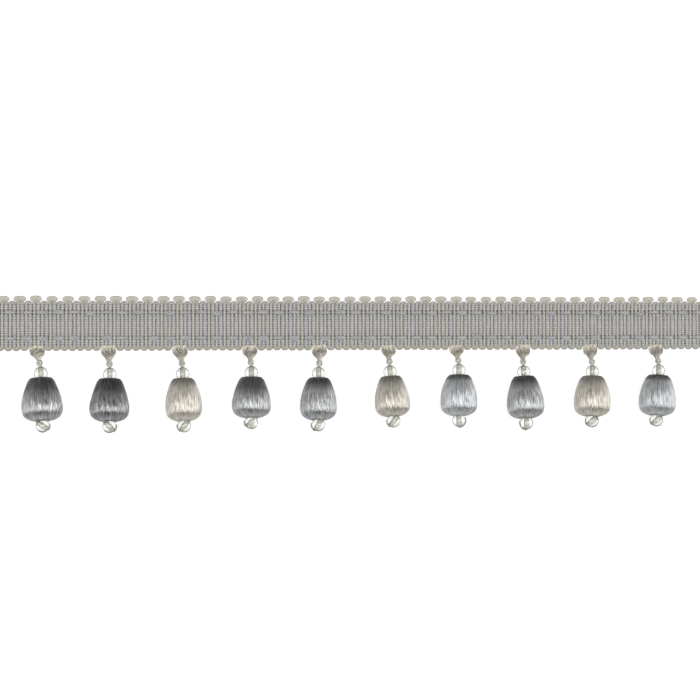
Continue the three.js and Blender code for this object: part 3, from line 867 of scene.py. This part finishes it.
def tie_path(y):
    """Up to the run below each picot, the steeper the wider the hole there, over it and down again."""
    path = []
    for repeat in range(REPEATS):
        run = picot_x(repeat) + BARE["places"][1] * PITCH
        slope = 1 - TIE_STEEPER * tightness(picot_x(repeat))
        path += [(run - dx * slope, y, z) for dx, z in TIE_HALF[::-1]]
        path += [(run + dx, y, z) for dx, z in TIE_HALF[1:]]
    return path


def laid(name, yarn, paths):
    """One kind of the heading's yarns, along these paths."""
    width, thickness, sides, smoothness, uneven, seed = YARNS[yarn]
    return grown(name, "laid_yarn", paths, width=width * MM, thickness=thickness * MM, sides=sides,
                 smoothness=smoothness, unevenness=uneven * MM, seed=seed, material=MATERIALS[yarn])


def make_heading():
    rows = [first + i * WARP_STEP for first, count in WARP_ROWS.values() for i in range(count)]
    gaps = GROUND["yarns"] - 1
    behind = [mix(rows[0], rows[-1], i / gaps) for i in range(gaps + 1)]
    weft = laid("heading_weft", "weft", [weft_path()])
    warps = laid("heading_warps", "warp", [warp_path(y) for y in rows])
    ground = laid("heading_ground", "ground", [ground_path(y) for y in behind])
    strands = [path for y in BINDER_BANDS for path in binder_paths(y)]
    binders = laid("heading_binders", "binder", strands)
    ties = laid("heading_ties", "tie", [tie_path(y) for y in BINDER_BANDS])
    for piece, slot in ((weft, "weft_cord"), (warps, "warp_yarn"), (ground, "warp_yarn"),
                        (binders, "binder_yarn"), (ties, "weft_cord")):
        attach(piece, "root")
        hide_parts("heading")


make_heading()


# Hangers

def box_middle(node_name):
    low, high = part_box(node_name)
    return (low + high) / 2 / MM


def hanger_places(number, look):
    """Where the frame has one hanger: its beads' middles and bores, its tuft and its drop."""
    seed, upper, stopper = [box_middle(f"{kind}_bead_{number}") for kind in BEADS]
    down = (stopper - upper).normalized()
    across = UP.cross(down).normalized()
    mouth = upper - down * (BEAD_RADIUS + GAP)
    tip = 2 * seed - mouth
    turn = math.radians(look["bore"])
    raised = math.radians(look["raised"])
    flat = down * math.cos(turn) + across * math.sin(turn)
    root = Vector((HANGER_X[number - 1], TUFT["top"], TUFT["height"]))
    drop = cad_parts[f"drop_{number}"]
    from_bead = [drop.matrix_world @ v.co / MM - upper for v in drop.data.vertices]
    return {
        "seed": seed, "upper": upper, "stopper": stopper, "down": down, "across": across,
        "bores": {
            "seed": (mouth - tip).normalized(), "upper": down,
            "stopper": (flat * math.cos(raised) - UP * math.sin(raised)).normalized(),
        },
        "mouth": mouth, "tip": tip, "root": root,
        "drop_length": (stopper - upper).length - 2 * SEAT,
        "drop_half_width": max((p - down * p.dot(down)).length for p in from_bead),
    }


def make_bead(number, kind, places):
    """A glass bead with a straight bore and ground-off mouths."""
    bead = BEADS[kind]
    radius, half_height = bead["radius"], bead["radius"] * bead["squash"]
    start = math.asin(BORE_RADIUS / radius)
    edge = start * MOUTH["opening"]
    wall_end = half_height * math.cos(start) * MOUTH["wall"]
    profile = [(BORE_RADIUS, -wall_end)]
    for i in range(bead["arcs"] + 1):
        angle = mix(edge, math.pi - edge, i / bead["arcs"])
        profile.append((radius * math.sin(angle), -half_height * math.cos(angle)))
    profile.append((BORE_RADIUS, wall_end))
    node_name = f"{kind}_bead_{number}"
    piece = lathe(f"{node_name}_glass", profile, bead["sides"], places["bores"][kind], places[kind],
                  MATERIALS["glass"])
    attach(piece, "root")
    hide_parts(node_name)


def pear(t, belly):
    """Half-width as a share of the widest, at a share t of the length from the narrow end."""
    if t < WIDEST:
        return 1 - (1 - NECK) * ((WIDEST - t) / WIDEST) ** belly
    return math.sqrt(1 - ((t - WIDEST) / FOOT["reach"]) ** FOOT["squareness"])


def drop_section(half_width, length, sunk, belly):
    """The winding's half section, from inside the narrow end's bore to inside the wide end's."""
    neck = half_width * NECK - sunk
    rim_radius, rim_share = FOOT_RIM
    section = [(x, -depth) for x, depth in DIMPLE]
    section += [(neck - x, -depth) for x, depth in NECK_RIM]
    section += [(half_width * pear(t, belly) - sunk, -t * length) for t in SIDE_STEPS]
    section.append((rim_radius, -rim_share * length))
    section += [(x, depth - length) for x, depth in DIMPLE[::-1]]
    return [(x, y, 0) for x, y in section]


def make_drop(number, look, places):
    half_width = places["drop_half_width"]
    sunk = WINDING["thickness"] / 2
    section = drop_section(half_width, places["drop_length"], sunk, look["belly"])
    # How much darker this drop's colour is painted: painted shade for how it lies to the lamps
    darkened = WINDING_TONES["shade"] * look["shade"]
    name = f"drop_{number}_winding"
    piece = grown(name, "wound_threads", [section], threads=THREADS, width=WINDING["width"] * MM,
                  thickness=WINDING["thickness"] * MM, widest=half_width * MM,
                  wander=WINDING["wander"], lumps=WINDING["lumps"] * MM,
                  darkest=WINDING_TONES["darkest"] - darkened,
                  lightest=WINDING_TONES["lightest"] - darkened,
                  seed=number, material=MATERIALS[look["yarn"]])
    down, across = places["down"], places["across"]
    turn = Matrix((across, -down, across.cross(-down))).transposed().to_4x4()
    end = (places["upper"] + down * SEAT) * MM
    piece.data.transform(Matrix.Translation(end) @ turn)
    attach(piece, "root")
    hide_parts(f"drop_{number}")


def thread_path(look, places):
    """From inside the tuft through the beads and the drop, then back round the stopper bead."""
    down, upper, stopper = places["down"], places["upper"], places["stopper"]
    bore = places["bores"]["stopper"]
    start = places["tip"] - places["bores"]["seed"] * THREAD_HIDDEN
    path = [start, places["tip"], places["seed"], places["mouth"], upper]
    path += [upper + down * distance for distance in THREAD_IN_DROP]

    # Into the stopper bead, round its shoulder first where its bore is turned away
    clear = BEAD_RADIUS + GAP
    path.append(stopper - down * (clear + CLEARS["drop"]))
    if (down * bore.dot(down) - bore).length > TURNED_BORE:
        path.append(stopper - (down + bore).normalized() * (clear + CLEARS["shoulder"]))
    path += [stopper - bore * (BEAD_RADIUS - IN_MOUTH["upper"]), stopper,
             stopper + bore * (BEAD_RADIUS - IN_MOUTH["lower"])]
    points = [(*p, 1.0) for p in path]

    # Back round the bead, on the side that its bore comes out
    side = places["across"] * math.copysign(1, look["bore"])
    first = int(math.degrees(down.angle(bore)))
    for turned in range(first, RETURN["end"] + 1, RETURN["step"]):
        angle = math.radians(turned)
        reach = down * math.cos(angle) + side * math.sin(angle)
        points.append((*(stopper + reach * (BEAD_RADIUS + RETURN["lift"])), RETURN["girth"]))
    return points


def bore_filling(places):
    """The thread where it lies doubled in each bore and fills it, from mouth to mouth."""
    paths = []
    for kind, bead in BEADS.items():
        half_bore = places["bores"][kind] * (bead["radius"] * bead["squash"])
        points = [places[kind] + half_bore * share for share in (-BORE_REACH, 0, BORE_REACH)]
        paths.append([(*p, LIT_BORE_GIRTH) for p in points])
    return paths


def tuft_paths(look, places):
    """Cords that leave the heading side by side and draw together into the thread."""
    sway = random.Random(look["tuft"])
    root, tip = places["root"], places["tip"]
    turn = math.radians(look["turn"])
    lowest = PLY_WIDTH * TUFT_CORD["ply_radius"]  # a cord's middle when it lies on the floor
    paths = []
    for count, far in TUFT_RINGS:
        for i in range(count):
            spot = i + sway.uniform(-TUFT_SWAY["place"], TUFT_SWAY["place"])
            angle = 2 * math.pi * spot / count
            path = []
            for along, wide, thick, girth in TUFT_SHAPE:
                middle = root.lerp(tip, along)
                middle.z = mix(root.z, tip.z, max(along, 0) ** TUFT["climb"])
                turned = angle + turn * max(along, 0)
                turned += sway.uniform(-TUFT_SWAY["turn"], TUFT_SWAY["turn"])
                x = middle.x + TUFT["reach"] * wide * far * math.cos(turned)
                y = middle.y + sway.uniform(-TUFT_SWAY["length"], TUFT_SWAY["length"])
                z = max(lowest, middle.z + thick * far * math.sin(turned))
                path.append((x, y, z, girth))
            paths.append(path)
    return paths


def corded(name, cord, paths, darkest, lightest, seed, material):
    """Twisted cord of this make, along these paths."""
    return grown(name, "twisted_cord", paths, plies=cord["plies"], ply_radius=cord["ply_radius"] * MM,
                 lay=cord["lay"] * MM, step=cord["step"] * MM, sides=cord["sides"], darkest=darkest,
                 lightest=lightest, seed=seed, material=MATERIALS[material])


def make_hanger(number, look):
    places = hanger_places(number, look)
    tanned = TUFT_TONES["tan"] * look["brown"]
    tuft = corded(f"tuft_{number}", TUFT_CORD, tuft_paths(look, places),
                  TUFT_TONES["darkest"] - tanned, TUFT_TONES["lightest"] - tanned, look["tuft"], "tuft")
    thread = corded(f"thread_{number}", THREAD, [thread_path(look, places)], 0.0, 1.0, number, "thread")
    filled = 2 * BORE_FILL / LIT_BORE_GIRTH * MM
    filling = grown(f"bore_thread_{number}", "laid_yarn", bore_filling(places), width=filled,
                    thickness=filled, sides=12, smoothness=1, unevenness=0.0, seed=number,
                    material=MATERIALS["thread"])
    for piece in (tuft, thread, filling):
        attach(piece, "root")
        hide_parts(f"hanger_cord_{number}")
    for kind in BEADS:
        make_bead(number, kind, places)
    make_drop(number, look, places)


for hanger_number, hanger_look in enumerate(LOOKS, 1):
    make_hanger(hanger_number, hanger_look)


# Floor and lights

def make_floor():
    half = 2000
    depth = -0.05
    corners = [(-half, -half), (half, -half), (half, half), (-half, half)]
    mesh = bpy.data.meshes.new("floor")
    mesh.from_pydata([Vector((x, y, depth)) * MM for x, y in corners], [], [(0, 1, 2, 3)])
    mesh.materials.append(MATERIALS["floor"])
    floor = new_object("floor", mesh)


def area_light(name, place, towards, size, watts):
    light = bpy.data.lights.new(name, "AREA")
    light.shape = "RECTANGLE"
    light.size = size[0] * MM
    light.size_y = size[1] * MM
    light.energy = watts
    lamp = new_object(name, light)
    lamp.location = Vector(place) * MM
    lamp.rotation_euler = (Vector(towards) - Vector(place)).to_track_quat("-Z", "Y").to_euler()
    lamp.visible_camera = False


def make_lights():
    for light in LIGHTS:
        area_light(*light)
    world = bpy.data.worlds.new("studio")
    world.use_nodes = True
    background = world.node_tree.nodes["Background"]
    background.inputs["Color"].default_value = linear("#ffffff")
    background.inputs["Strength"].default_value = 0.04
    scene.world = world
    scene.view_settings.view_transform = "Standard"


make_floor()
make_lights()
